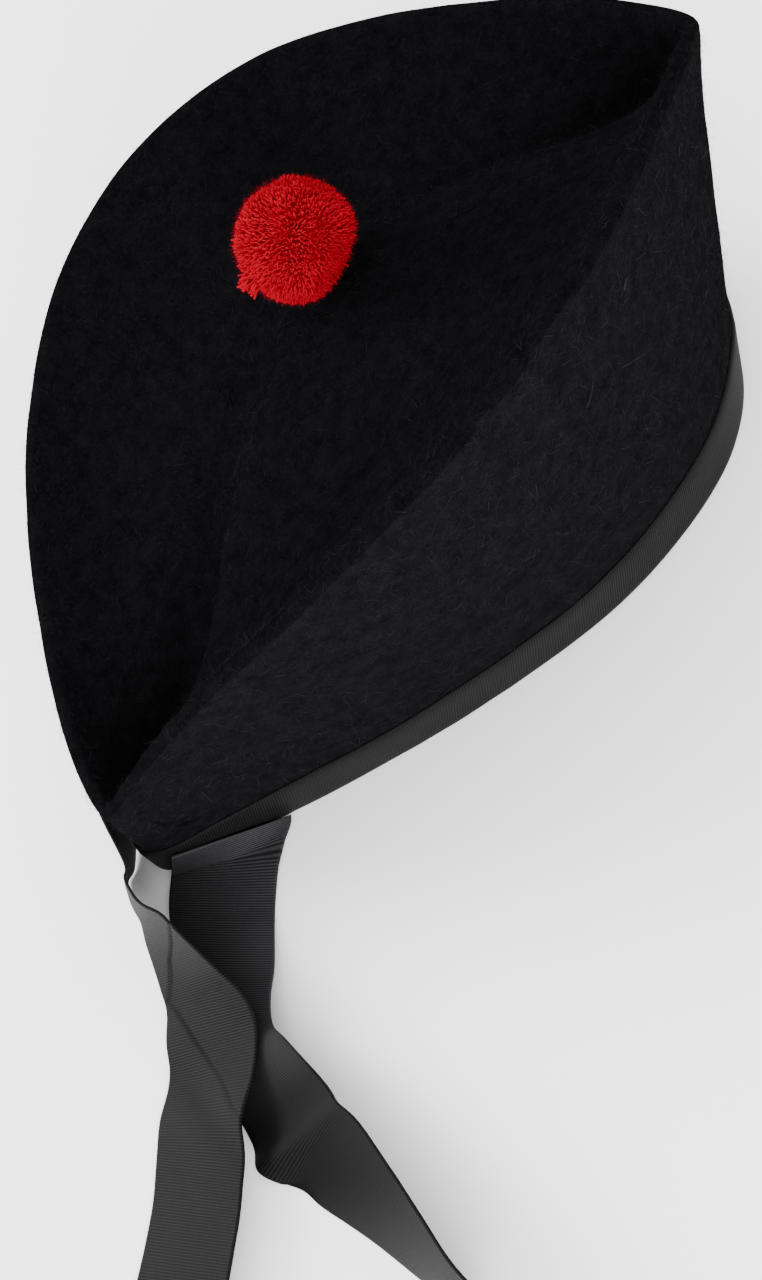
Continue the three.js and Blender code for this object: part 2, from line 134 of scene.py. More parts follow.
# The tails after their hems: back, aside, rise, bearing and tilt of each station, as shares of
# the ribbon's width, in ribbon thicknesses, and in degrees.
TAIL_WIDTH = 36
TAIL_THICKNESS = 1
NEAR_ROUTE = (
    (-0.04, 0.2, 0.6, -50, 0),
    (0.15, 0.39, 0, -54, 0),
    (0.28, 0.58, 0, -55, 2),
    (0.46, 0.88, 0, -56, 6),
    (0.64, 1.14, 0, -55, 11),
    (0.76, 1.42, 0, -54, 16),
    (0.82, 1.78, 0, -47, 23),
    (0.91, 2.36, 0, -34, 30),
    (0.98, 2.92, 0, -22, 33),
    (0.9, 3.26, 0, -25, 40),
    (0.8, 3.7, 0, -40, 45),
    (0.74, 4.02, 0, -50, 48),
    (0.68, 4.46, 0, -62, 50),
    (0.6, 4.95, 0, -68, 50),
)
FAR_ROUTE = (
    (0.17, -0.15, 0, -85, 52),
    (0.28, -0.1, 0, -83, 49),
    (0.35, 0.02, 0, -81, 47),
    (0.39, 0.17, 0.6, -78, 46),
    (0.42, 0.36, 1.6, -72, 43),
    (0.5, 0.55, 1.8, -67, 40),
    (0.58, 0.78, 2, -62, 36),
    (0.66, 1, 2.2, -57, 32),
    (0.75, 1.22, 2.4, -53, 24),
    (0.94, 1.46, 2.9, -48, 16.5),
    (1.12, 1.68, 0.8, -52, 19),
    (1.35, 1.84, 0, -57, 20),
    (1.56, 2.07, 0, -60, 16),
    (1.77, 2.3, 0, -60, 16),
    (2, 2.5, 0, -60, 16),
    (2.23, 2.68, 0, -59, 15),
    (2.7, 3.05, 0, -58, 10),
)
HEM_THREAD = (0.028, 0.028, 0.03)
NEAR_HEM = (
    ((12, 15, 0), (46.5, 2, 0)),
    ((10, 3.5, 1.5), (42.5, 1.4, 5)),
)
FAR_HEM_SETBACKS = (46, 30.4, 14.7)
TAIL_STEPS = 270
TAIL_ACROSS = 48

# Rows of stitches along the near hem: distance from the ribbon's end in millimetres, and the
# first and the last column of the ribbon's grid.
HEM_ROWS = ((0.9, 1, 47), (4.2, 1, 46), (6.6, 2, 8))
STITCH_LENGTH = 1.9
STITCH_GAP = 0.9
STITCH_RADIUS = 0.22

# Loose hairs: bend and width of each kind, as shares of its length. Nap hairs lean in degrees.
HAIR_KINDS = ((0.1, 0.012), (0.25, 0.017), (0.35, 0.013), (0.5, 0.02), (0.75, 0.012))
HAIR_ROOT = 0.04
SHORTEST_HAIR = 0.3
HAIR_LENGTH_POWER = 1.4
LONG_HAIRS = 0.004
LONG_HAIR_GROWTH = (1.4, 2.6)
STEEPEST_HAIR = 26
NAP_ABOVE_BINDING = 0.8
# The wall's hairs are painted lighter than the crown's: painted light on the wall and painted shade on the
# crown.
NAP_PAINTED_LIGHT = {"crown_nap": 0.9, "wall_nap": 1.6}

# The toorie's layers, as shares of its radius.
HEAD_REACH = 0.86
YARN_ROOT = 0.74
SKIN_REACH = 0.95
YARN_GIRTHS = (0.05, 0.062, 0.075)
TUFT_FACING = 0.982
TUFT_GROWTH = 0.16
FLUFF_HAIRS = 9000
FLUFF_LENGTHS = (0.8, 2.1)
FLUFF_LEANS = (10, 75)
WORN_DEPTH = 0.21
WORN_FACING = 0.66
WORN_SPREAD = 0.34

TABLE_HALF_WIDTH = 6
LIGHT_AIM = (0.0, 0.0, 0.03)
KEY_PLACE, KEY_SIZE = (-0.75, 1.15, 0.82), 0.8
FILL_PLACE, FILL_SIZE = (-0.6, -1.5, 0.58), 1.0


def lerp(a, b, t):
    return a + (b - a) * t


def ends_closer(step, closeness):
    """Steps along a side lie closer together near its ends."""
    return lerp(step, (1 - np.cos(np.pi * step)) / 2, closeness)


def lens_point(share, side, loop):
    """Points of a lens-shaped loop whose ends lie aside of the cap's middle plane."""
    width, fullness, skew = loop[side]
    v = share**skew
    half = width * np.maximum(4 * v * (1 - v), 0) ** fullness
    half = half + NOSE_HALF_WIDTH * np.sqrt(np.maximum(1 - np.abs(2 * share - 1) ** NOSE_SHARPNESS, 0))
    return np.stack(
        [
            loop["forward"] + loop["length"] * (share - 0.5),
            lerp(loop["rear_aside"], loop["front_aside"], share) + side * half,
            lerp(loop["rear_height"], loop["front_height"], share) + loop["arch"] * 4 * share * (1 - share),
        ],
        axis=-1,
    )


def offset_loop(loop, outset):
    """Moves each point of a closed loop level and square to the loop."""
    before, after = np.roll(loop, 1, axis=0), np.roll(loop, -1, axis=0)
    outward = np.stack([after[:, 1] - before[:, 1], before[:, 0] - after[:, 0]], axis=1)
    outward /= np.linalg.norm(outward, axis=1)[:, None]
    moved = loop.copy()
    moved[:, :2] += outward * outset
    return moved


class CapForm:
    """The cap's loops at a number of steps a side: along the near side, then back along the far."""

    def __init__(self, steps):
        self.steps = steps
        self.step = np.concatenate([np.arange(steps + 1), np.arange(steps - 1, 0, -1)]) / steps
        self.side = np.array([NEAR] * (steps + 1) + [FAR] * (steps - 1))
        self.along = ends_closer(self.step, RIDGE_CLOSENESS)
        rim_share = ends_closer(self.step, 1)
        near = self.side[:, None] == NEAR
        self.rim = np.where(
            near, lens_point(rim_share, NEAR, RIM_SHAPE), lens_point(rim_share, FAR, RIM_SHAPE)
        )
        self.ridge = np.where(
            near, lens_point(self.along, NEAR, RIDGE_SHAPE), lens_point(self.along, FAR, RIDGE_SHAPE)
        )
        self.edge = self.ridge_loop(CROWN_EDGE_TURN)
        count = len(self.edge)
        self.twin = self.edge[(count - np.arange(count)) % count]
        self.rear_spine = self.edge[0][0] + SPINE_SETBACK
        self.front_spine = self.edge[steps][0] - SPINE_SETBACK
        self.valleys = [
            (np.array([self.crown_place(*place) for place in route]), *rest) for route, *rest in CREASES
        ]

    def wall_loop(self, height_of, outset):
        """A loop on the wall, at a height that may follow the ridge's height above it."""
        top = self.ridge[:, 2]
        share = (height_of(top) / top)[:, None]
        loop = offset_loop(lerp(self.rim, self.ridge, share), outset)
        swell = WALL_BULGE * np.sin(np.pi * share[:, 0]) * np.sin(np.pi * self.step)
        loop[:, 1] += self.side * swell
        return loop

    def ridge_loop(self, turn):
        """A loop on the rounded ridge, at an angle from the wall in degrees."""
        angle = math.radians(turn)
        loop = offset_loop(self.ridge, -RIDGE_ROUNDING * (1 - math.cos(angle)))
        loop[:, 2] -= RIDGE_ROUNDING * (1 - math.sin(angle))
        return loop

    def smooth_crown(self, along, edge, twin, inward):
        """Places on the crown before its creases, from an edge at 0 to the spine at 1."""
        depth = lerp(CROWN_TIP_DEPTH, CROWN_DEPTH, np.sin(np.pi * along))
        return np.stack(
            [
                lerp(edge[..., 0], lerp(self.rear_spine, self.front_spine, along), inward),
                lerp(edge[..., 1], (edge[..., 1] + twin[..., 1]) / 2, inward),
                edge[..., 2] - depth * (1 - (1 - inward) ** CROWN_FLATNESS),
            ],
            axis=-1,
        )

    def crown_place(self, along, across):
        share = np.float64(along)
        near, far = lens_point(share, NEAR, RIDGE_SHAPE), lens_point(share, FAR, RIDGE_SHAPE)
        edge, twin = (near, far) if across < 0 else (far, near)
        return self.smooth_crown(share, edge, twin, 1 - abs(across))

    def crease_depth(self, points):
        """Depth of the creases under points of the crown."""
        depth = np.zeros(len(points))
        for route, start, toe, near_flank, far_flank in self.valleys:
            nearest = np.full(len(points), np.inf)
            share = np.zeros(len(points))
            above = np.zeros(len(points), bool)
            for i in range(len(route) - 1):
                a, b = route[i][:2], route[i + 1][:2]
                t = np.clip(((points[:, :2] - a) @ (b - a)) / ((b - a) @ (b - a)), 0, 1)
                foot = a + t[:, None] * (b - a)
                gap = np.linalg.norm(points[:, :2] - foot, axis=1)
                closer = gap < nearest
                nearest = np.where(closer, gap, nearest)
                share = np.where(closer, (i + t) / (len(route) - 1), share)
                above = np.where(closer, points[:, 1] > foot[:, 1], above)
            flank = np.where(above, far_flank, near_flank)
            depth += CROWN_DEPTH * lerp(start, toe, share) * np.exp(-((nearest / flank) ** 2))
        return depth

    def crown_loop(self, inward, lowered):
        """A loop on the crown, lowered below its face for the underside."""
        loop = self.smooth_crown(self.along, self.edge, self.twin, inward)
        loop[:, 2] -= self.crease_depth(loop) * min(1, inward / CREASE_FADE) + lowered
        return loop

    def wall_place(self, side, setback, height, outset):
        """A place on the wall's outer face, at a setback from the rear end."""
        loop = self.wall_loop(lambda top: height + 0 * top, outset)
        order = loop if side == NEAR else np.concatenate([loop[:1], loop[:0:-1]])
        lengths = np.linalg.norm(np.diff(order, axis=0), axis=1)
        reached = np.concatenate([[0], np.cumsum(lengths)])
        return np.array([np.interp(setback, reached, order[:, k]) for k in range(3)])


SOLID_FORM = CapForm(SOLID_STEPS)
FORM = CapForm(FORM_STEPS)


def frame_shift():
    """How far the frame's origin lies from the cap's own: the frame is centred on its box."""
    wall = [SOLID_FORM.wall_loop(lambda top, s=s: s * top, 0) for s in (0.36, 0.5, 0.65, 0.8)]
    loops = np.concatenate(wall + [SOLID_FORM.ridge_loop(turn) for turn in (0, 45, 90)])
    low = Vector(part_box("cap_body")[0])
    rim = Vector(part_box("rim_binding")[0])
    return np.array([low.x / MM - loops[:, 0].min(), low.y / MM - loops[:, 1].min(), rim.z / MM])


SHIFT = frame_shift()


def placed(points):
    """Points of the cap's own frame in the model's frame, in metres."""
    return (np.asarray(points) + SHIFT) * MM


class FeltSettings(bpy.types.PropertyGroup):
    colour: FloatVectorProperty(
        name="Felt colour", description="Colour of the wool felt", subtype="COLOR", size=3, min=0, max=1,
        default=(0.003, 0.0028, 0.0033),
    )
    nap_colour: FloatVectorProperty(
        name="Nap colour", description="Colour of the loose hairs on the felt", subtype="COLOR", size=3,
        min=0, max=1, default=(0.0078, 0.0075, 0.0086),
    )
    nap_hairs: IntProperty(
        name="Nap hairs", description="How many loose hairs stand on each part of the felt",
        default=30000, min=0,
    )
    nap_length: FloatProperty(
        name="Nap length", description="Longest ordinary hair", default=3.3 * MM, subtype="DISTANCE"
    )
    unevenness: FloatProperty(
        name="Unevenness", description="How far the soft felt strays from its smooth form",
        default=0.9 * MM, subtype="DISTANCE",
    )


class RibbonSettings(bpy.types.PropertyGroup):
    colour: FloatVectorProperty(
        name="Ribbon colour", description="Colour of the grosgrain", subtype="COLOR", size=3, min=0, max=1,
        default=(0.0052, 0.005, 0.0054),
    )
    rib_pitch: FloatProperty(
        name="Rib pitch", description="Distance from rib to rib", default=0.82 * MM, subtype="DISTANCE"
    )
    thickness: FloatProperty(
        name="Ribbon thickness", description="Thickness of the tails", default=0.8 * MM, subtype="DISTANCE"
    )


class ToorieSettings(bpy.types.PropertyGroup):
    colour: FloatVectorProperty(
        name="Wool colour", description="Colour of the toorie's yarn", subtype="COLOR", size=3, min=0, max=1,
        default=(0.265, 0.0001, 0.0075),
    )
    yarns: IntProperty(name="Yarn ends", description="How many cut ends show", default=6200, min=1)


class StageSettings(bpy.types.PropertyGroup):
    floor_colour: FloatVectorProperty(
        name="Floor colour", description="Colour of the table", subtype="COLOR", size=3, min=0, max=1,
        default=(0.94, 0.94, 0.94),
    )
    key_power: FloatProperty(
        name="Key light", description="Power of the large light over the far side and the tails",
        default=42, subtype="POWER",
    )
    fill_power: FloatProperty(
        name="Fill light", description="Power of the low light on the near side", default=62,
        subtype="POWER",
    )
    sky: FloatProperty(name="Sky", description="Brightness of the room around", default=2.5, min=0)


def new_object(name, bm):
    """A finished bmesh as an object at the origin."""
    mesh = bpy.data.meshes.new(name)
    bm.to_mesh(mesh)
    bm.free()
    obj = bpy.data.objects.new(name, mesh)
    bpy.context.scene.collection.objects.link(obj)
    return obj


def shade_smooth(obj):
    for face in obj.data.polygons:
        face.use_smooth = True


def ribbed_grid(rows, uvs=None):
    """A grid moved onto rows of points, with its UV map in metres."""
    across, along = len(rows[0]) - 1, len(rows) - 1
    bm = bmesh.new()
    uv_layer = bm.loops.layers.uv.new("weave")
    bmesh.ops.create_grid(bm, x_segments=across, y_segments=along, size=1, calc_uvs=True)
    places = {}
    for vert in bm.verts:
        i = round((vert.co.x + 1) / 2 * across)
        k = round((vert.co.y + 1) / 2 * along)
        places[vert.index] = (k, i)
        vert.co = rows[k][i]
    if uvs is not None:
        for face in bm.faces:
            for corner in face.loops:
                k, i = places[corner.vert.index]
                corner[uv_layer].uv = uvs[k][i]
    return bm


def closed_loft(loops):
    """Closed loops joined row to row, each row closed by repeating its first point."""
    rows = [np.concatenate([loop, loop[:1]]) for loop in loops]
    return ribbed_grid([[Vector(p) for p in placed(row)] for row in rows])


def wander(point, scale, seed):
    """A smooth vector noise over space, about 0.5 at most each way."""
    return noise.noise_vector(point * scale + Vector((seed, 0, 0)))


def slump(point, unevenness):
    """How soft felt strays from its smooth form at a place, level with the table near the rim."""
    free = min(1, max(0, (point.z - BINDING_HEIGHT * MM) / (25 * MM)))
    stray = wander(point, 22, 3) + 0.3 * wander(point, 70, 9)
    return Vector((stray.x, stray.y, stray.z * free)) * unevenness


FINISH_SOCKETS = {
    "specular": "Specular IOR Level",
    "sheen": "Sheen Weight",
    "sheen_roughness": "Sheen Roughness",
    "sheen_tint": "Sheen Tint",
}


def set_inputs(node, values):
    """Sets sockets of a node by name."""
    for name, value in values.items():
        node.inputs[name].default_value = value


def new_material(name, colour, roughness, **finish):
    """A principled material. The finish gives specular, sheen, sheen_roughness and sheen_tint."""
    material = bpy.data.materials.new(name)
    material.use_nodes = True
    shader = material.node_tree.nodes["Principled BSDF"]
    set_inputs(shader, {"Base Color": (*colour, 1), "Roughness": roughness})
    set_inputs(shader, {FINISH_SOCKETS[key]: value for key, value in finish.items()})
    return material, material.node_tree, shader


def mottle_group():
    """Colour mottled by a fine and a coarse noise, with a height for the bump."""
    group = bpy.data.node_groups.get("fibre_mottle")
    if group:
        return group
    group = bpy.data.node_groups.new("fibre_mottle", "ShaderNodeTree")
    face = group.interface
    face.new_socket("Vector", in_out="INPUT", socket_type="NodeSocketVector")
    for name, value in (("Fine scale", 1200.0), ("Coarse scale", 60.0), ("Darkest", 0.5), ("Lightest", 1.6)):
        face.new_socket(name, in_out="INPUT", socket_type="NodeSocketFloat").default_value = value
    face.new_socket("Colour", in_out="INPUT", socket_type="NodeSocketColor")
    face.new_socket("Mottled", in_out="OUTPUT", socket_type="NodeSocketColor")
    face.new_socket("Height", in_out="OUTPUT", socket_type="NodeSocketFloat")
    nodes, links = group.nodes, group.links
    enter, leave = nodes.new("NodeGroupInput"), nodes.new("NodeGroupOutput")
    fine, coarse = nodes.new("ShaderNodeTexNoise"), nodes.new("ShaderNodeTexNoise")
    set_inputs(fine, {"Detail": 6, "Roughness": 0.7, "Distortion": 1.2})
    set_inputs(coarse, {"Detail": 3})
    for tex, scale in ((fine, "Fine scale"), (coarse, "Coarse scale")):
        links.new(enter.outputs["Vector"], tex.inputs["Vector"])
        links.new(enter.outputs[scale], tex.inputs["Scale"])
    mixed = nodes.new("ShaderNodeMix")
    mixed.data_type = "FLOAT"
    mixed.inputs["Factor"].default_value = 0.35
    links.new(fine.outputs["Fac"], mixed.inputs["A"])
    links.new(coarse.outputs["Fac"], mixed.inputs["B"])
    spread = nodes.new("ShaderNodeMapRange")
    set_inputs(spread, {"From Min": 0.36, "From Max": 0.66})
    links.new(mixed.outputs["Result"], spread.inputs["Value"])
    links.new(enter.outputs["Darkest"], spread.inputs["To Min"])
    links.new(enter.outputs["Lightest"], spread.inputs["To Max"])
    tint = nodes.new("ShaderNodeVectorMath")
    tint.operation = "SCALE"
    links.new(enter.outputs["Colour"], tint.inputs[0])
    links.new(spread.outputs["Result"], tint.inputs["Scale"])
    links.new(tint.outputs["Vector"], leave.inputs["Mottled"])
    links.new(fine.outputs["Fac"], leave.inputs["Height"])
    return group


def add_mottle(tree, shader, colour, fine, coarse, darkest, lightest, bump, bump_depth):
    """Places the mottle group before the shader's colour and bump."""
    nodes, links = tree.nodes, tree.links
    where = nodes.new("ShaderNodeTexCoord")
    mottle = nodes.new("ShaderNodeGroup")
    mottle.node_tree = mottle_group()
    links.new(where.outputs["Object"], mottle.inputs["Vector"])
    set_inputs(mottle, {"Fine scale": fine, "Coarse scale": coarse, "Colour": (*colour, 1)})
    set_inputs(mottle, {"Darkest": darkest, "Lightest": lightest})
    links.new(mottle.outputs["Mottled"], shader.inputs["Base Color"])
    relief = nodes.new("ShaderNodeBump")
    set_inputs(relief, {"Strength": bump, "Distance": bump_depth})
    links.new(mottle.outputs["Height"], relief.inputs["Height"])
    links.new(relief.outputs["Normal"], shader.inputs["Normal"])
    return mottle, relief


def felt_material(name, settings, tint):
    colour = tuple(c * tint for c in settings.colour)
    material, tree, shader = new_material(
        name, colour, 0.95, specular=0.0, sheen=0.003, sheen_roughness=0.5, sheen_tint=(0.6, 0.63, 0.75, 1)
    )
    add_mottle(tree, shader, colour, 1000, 220, 0.45, 1.6, 1.0, 1.0 * MM)
    return material


def nap_material(name, settings, tint):
    colour = tuple(c * tint for c in settings.nap_colour)
    return new_material(name, colour, 0.7, specular=0.03)[0]


def grosgrain_material(name, settings, tint=1.0, hem_painted_light=1.0):
    """Ribs straight across the ribbon, on its UV map: across in U and along in V, in metres."""
    colour = tuple(c * tint for c in settings.colour)
    material, tree, shader = new_material(
        name, colour, 0.55, specular=0.03, sheen=0.002, sheen_roughness=0.4
    )
    nodes, links = tree.nodes, tree.links
    mottle, relief = add_mottle(tree, shader, colour, 900, 30, 0.8, 1.25, 0.25, 0.15 * MM)
    uv = nodes.new("ShaderNodeUVMap")
    uv.uv_map = "weave"
    split = nodes.new("ShaderNodeSeparateXYZ")
    links.new(uv.outputs["UV"], split.inputs["Vector"])
    turns = nodes.new("ShaderNodeMath")
    turns.operation = "MULTIPLY"
    turns.inputs[1].default_value = 2 * math.pi / settings.rib_pitch
    links.new(split.outputs["Y"], turns.inputs[0])
    rib = nodes.new("ShaderNodeMath")
    rib.operation = "SINE"
    links.new(turns.outputs["Value"], rib.inputs[0])
    ribs = nodes.new("ShaderNodeBump")
    set_inputs(ribs, {"Strength": 0.5, "Distance": 0.08 * MM})
    links.new(rib.outputs["Value"], ribs.inputs["Height"])
    links.new(relief.outputs["Normal"], ribs.inputs["Normal"])
    links.new(ribs.outputs["Normal"], shader.inputs["Normal"])
    # The ribs' colour is darker in their grooves and lighter on their tops: painted shade and highlight over
    # the rib bump.
    rib_painted_shade = nodes.new("ShaderNodeMapRange")
    set_inputs(rib_painted_shade, {"From Min": -1, "To Min": 0.4, "To Max": 1.5})
    links.new(rib.outputs["Value"], rib_painted_shade.inputs["Value"])
    # The colour is painted lighter towards the ribbon's hem end, by hem_painted_light where V is below 0.06 m
    # and fading out by 0.1 m: painted light where the cap shades the tail.
    hem_painted_light_ramp = nodes.new("ShaderNodeMapRange")
    set_inputs(hem_painted_light_ramp, {"From Min": 0.06, "From Max": 0.1, "To Min": hem_painted_light, "To Max": 1})
    links.new(split.outputs["Y"], hem_painted_light_ramp.inputs["Value"])
    worn_and_painted_light = nodes.new("ShaderNodeMath")
    worn_and_painted_light.operation = "MULTIPLY"
    links.new(rib_painted_shade.outputs["Result"], worn_and_painted_light.inputs[0])
    links.new(hem_painted_light_ramp.outputs["Result"], worn_and_painted_light.inputs[1])
    ribbed = nodes.new("ShaderNodeVectorMath")
    ribbed.operation = "SCALE"
    links.new(mottle.outputs["Mottled"], ribbed.inputs[0])
    links.new(worn_and_painted_light.outputs["Value"], ribbed.inputs["Scale"])
    links.new(ribbed.outputs["Vector"], shader.inputs["Base Color"])
    return material


def yarn_material(name, settings, tint):
    colour = tuple(min(1, c * tint) for c in settings.colour)
    material, tree, shader = new_material(
        name, colour, 0.85, specular=0.02, sheen=0.03, sheen_tint=(1, 0.02, 0.05, 1)
    )
    add_mottle(tree, shader, colour, 1500, 160, 0.7, 1.15, 0.3, 0.2 * MM)
    return material


def cap_loops():
    """The felt shell's loops, from the spine under the crown, out over the ridge, to its spine."""
    wall = np.linspace(0.16, 0.9, 26)
    under = [0.06, 0.13, 0.22, 0.32, 0.44, 0.58, 0.73, 0.87, 1]
    crown = [*np.linspace(0.012, 0.3, 22), *np.linspace(0.325, 1, 34)]
    apex = offset_loop(FORM.ridge, -APEX_INSET)
    apex[:, 2] -= APEX_DROP
    foot = BINDING + SEAM_GAP
    inner = [
        FORM.wall_loop(lambda top: foot + 0 * top, -FELT),
        FORM.wall_loop(lambda top: BINDING_HEIGHT + 0 * top, -FELT),
        *[FORM.wall_loop(lambda top, s=s: s * top, -FELT) for s in wall[1:-1:2]],
        apex,
        *[FORM.crown_loop(share, CROWN_FELT) for share in under],
    ]
    outer = [
        FORM.wall_loop(lambda top: foot + 0 * top, 0),
        FORM.wall_loop(lambda top: (foot + BINDING_HEIGHT) / 2 + 0 * top, 0),
        FORM.wall_loop(lambda top: BINDING_HEIGHT + 0 * top, 0),
        *[FORM.wall_loop(lambda top, s=s: np.maximum(s * top, BINDING_HEIGHT + 1), 0) for s in wall[2:]],
        *[FORM.ridge_loop(turn) for turn in np.linspace(0, CROWN_EDGE_TURN, 8)],
        *[FORM.crown_loop(share, 0) for share in crown],
    ]
    return [*inner[::-1], *outer]


class GLENGARRY_OT_cap(bpy.types.Operator):
    """Make the felt cap with its ridges, sunken crown and creases"""

    bl_idname = "glengarry.cap"
    bl_label = "Cap body"

    def execute(self, context):
        settings = context.scene.glengarry_felt
        bm = closed_loft(cap_loops())
        bmesh.ops.remove_doubles(bm, verts=bm.verts, dist=0.01 * MM)
        soft = [v for v in bm.verts if v.co.z > SMOOTHED_ABOVE * MM]
        for _ in range(SMOOTHINGS):
            bmesh.ops.smooth_vert(
                bm, verts=soft, factor=0.5, use_axis_x=True, use_axis_y=True, use_axis_z=True
            )
        for vert in bm.verts:
            vert.co += slump(vert.co, settings.unevenness)
        cap = new_object("felt_cap", bm)
        shade_smooth(cap)
        # The wall's copy of the felt is painted lighter than the crown's: painted light.
        cap.data.materials.append(felt_material("wall_felt_painted_light", settings, WALL_PAINTED_LIGHT))
        cap.data.materials.append(felt_material("crown_felt", settings, CROWN_PAINTED_LIGHT))
        for face in cap.data.polygons:
            face.material_index = int(face.normal.z > CROWN_FACING)
        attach(cap, "root")
        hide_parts("cap_body")
        return {"FINISHED"}


def strand_mesh(name, sides, segments, bend, root, tip):
    """A thin tapering strand of unit length along +Z, bent to one side."""
    bm = bmesh.new()
    bmesh.ops.create_cone(bm, cap_ends=True, segments=sides, radius1=root, radius2=tip, depth=1)
    bmesh.ops.translate(bm, verts=bm.verts, vec=(0, 0, 0.5))
    for k in range(1, segments):
        bmesh.ops.bisect_plane(
            bm, geom=[*bm.verts, *bm.edges, *bm.faces], plane_co=(0, 0, k / segments), plane_no=(0, 0, 1)
        )
    for vert in bm.verts:
        vert.co.x += bend * vert.co.z**2
    mesh = bpy.data.meshes.new(name)
    bm.to_mesh(mesh)
    bm.free()
    return mesh


def planted(strands, places):
    """Copies of the strands at the given matrices, in one bmesh. A strand is doubled until there
    are enough of it, and each copy is moved to its place."""
    whole = bmesh.new()
    for kind, mesh in enumerate(strands):
        mine = [matrix for which, matrix in places if which == kind]
        bm = bmesh.new()
        bm.from_mesh(mesh)
        size = len(bm.verts)
        while len(bm.verts) < size * len(mine):
            bmesh.ops.duplicate(bm, geom=[*bm.verts, *bm.edges, *bm.faces])
        bm.verts.ensure_lookup_table()
        bmesh.ops.delete(bm, geom=bm.verts[size * len(mine) :], context="VERTS")
        for k, vert in enumerate(bm.verts):
            vert.co = mine[k // size] @ vert.co
        bm.to_mesh(mesh)
        bm.free()
        whole.from_mesh(mesh)
        bpy.data.meshes.remove(mesh)
    return whole


def hair_mesh(name, bend, width):
    """A flat hair of unit length along +Z, tapering and bent to one side."""
    bm = bmesh.new()
    bmesh.ops.create_grid(bm, x_segments=1, y_segments=3, size=0.5)
    for vert in bm.verts:
        along = vert.co.y + 0.5
        vert.co = (bend * along**2, 2 * vert.co.x * width * (1 - 0.6 * along), along)
    mesh = bpy.data.meshes.new(name)
    bm.to_mesh(mesh)
    bm.free()
    return mesh


def scatter_hairs(name, faces, verts, count, length_of, lean_of, rng):
    """Hairs planted over faces, each in a direction of its own."""
    strands = [hair_mesh(f"hair_{k}", bend, width) for k, (bend, width) in enumerate(HAIR_KINDS)]
    places = []
    for face in rng.choices(faces, weights=[f.area for f in faces], k=count):
        corners = [verts[v].co for v in face.vertices]
        u, v = rng.random(), rng.random()
        spot = corners[0].lerp(corners[1], u).lerp(corners[-1].lerp(corners[-2], u), v)
        lean = math.radians(lean_of(rng))
        normal = face.normal
        side = normal.orthogonal().normalized()
        side.rotate(Quaternion(normal, rng.uniform(0, 2 * math.pi)))
        direction = side * math.cos(lean) + normal * math.sin(lean)
        matrix = (
            Matrix.Translation(spot - normal * HAIR_ROOT * MM)
            @ direction.to_track_quat("Z", "X").to_matrix().to_4x4()
            @ Matrix.Rotation(rng.uniform(0, 2 * math.pi), 4, "Z")
            @ Matrix.Scale(length_of(rng), 4)
        )
        places.append((rng.randrange(len(strands)), matrix))
    return new_object(name, planted(strands, places))


class GLENGARRY_OT_nap(bpy.types.Operator):
    """Lay loose wool hairs on the felt, most of them nearly flat"""

    bl_idname = "glengarry.nap"
    bl_label = "Felt nap"

    def execute(self, context):
        settings = context.scene.glengarry_felt
        rng = random.Random(NAP_SEED)
        mesh = bpy.data.objects["felt_cap"].data
        middle = sum((v.co for v in mesh.vertices), Vector()) / len(mesh.vertices)
        crown = [
            f
            for f in mesh.polygons
            if f.normal.z > CROWN_FACING and f.center.z > 2 * BINDING_HEIGHT * MM
        ]
        wall = [
            f
            for f in mesh.polygons
            if f.normal.z <= CROWN_FACING
            and f.center.z > (BINDING_HEIGHT + NAP_ABOVE_BINDING) * MM
            and f.normal.xy.dot((f.center - middle).xy) > 0
        ]

        def length_of(draw):
            length = settings.nap_length * draw.uniform(SHORTEST_HAIR, 1) ** HAIR_LENGTH_POWER
            return length * draw.uniform(*LONG_HAIR_GROWTH) if draw.random() < LONG_HAIRS else length

        def lean_of(draw):
            return draw.uniform(0, STEEPEST_HAIR)

        for name, faces in (("crown_nap", crown), ("wall_nap", wall)):
            nap = scatter_hairs(name, faces, mesh.vertices, settings.nap_hairs, length_of, lean_of, rng)
            # Each nap takes its own painted light: the wall's hairs lighter than the crown's.
            nap.data.materials.append(nap_material(f"{name}_hair", settings, NAP_PAINTED_LIGHT[name]))
            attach(nap, "root")
        return {"FINISHED"}


